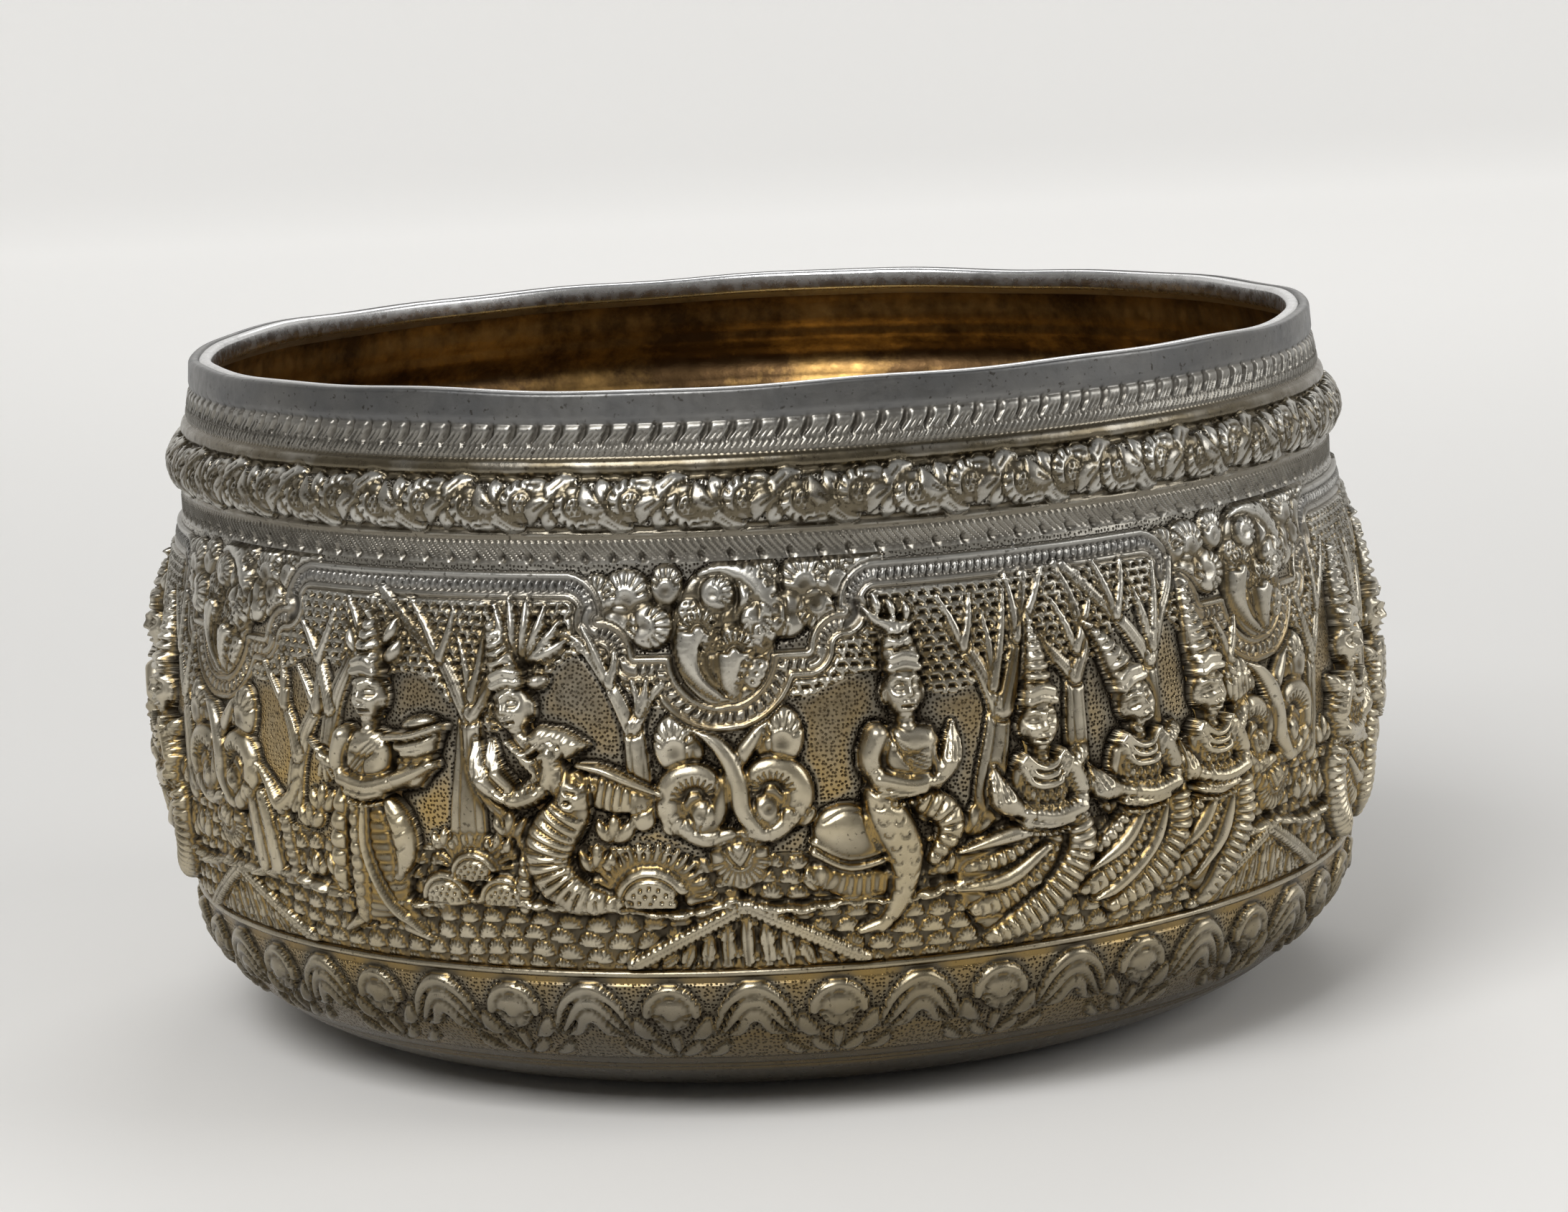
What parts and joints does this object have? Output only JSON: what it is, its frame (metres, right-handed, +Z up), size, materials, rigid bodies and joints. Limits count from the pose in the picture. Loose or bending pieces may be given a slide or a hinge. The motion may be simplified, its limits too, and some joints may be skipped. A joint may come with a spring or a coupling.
{
  "type": "chased silver bowl",
  "caption": "Deep round metal bowl with a raised figure frieze, banded neck, rounded base and a heavy ring fixed inside the lip; holds offerings, water or fruit.",
  "frame": {"origin": "middle of the flat base, on the surface that the bowl stands on", "axes": "+Z up along the bowl's axis, -Y towards the front of the picture, +X to its right"},
  "size_m": [0.2452, 0.2436, 0.133],
  "materials": {
    "chased_silver": "hand-chased silver, tarnished brown in the hollows and rubbed bright on the high places",
    "ring_silver": "planished silver with a worn bright edge",
    "solder": "dull hard solder, filed by hand"
  },
  "bodies": {
    "root": {"bowl_body": "chased_silver", "rim_ring": "ring_silver", "rim_solder": "solder"}
  },
  "joints": []
}
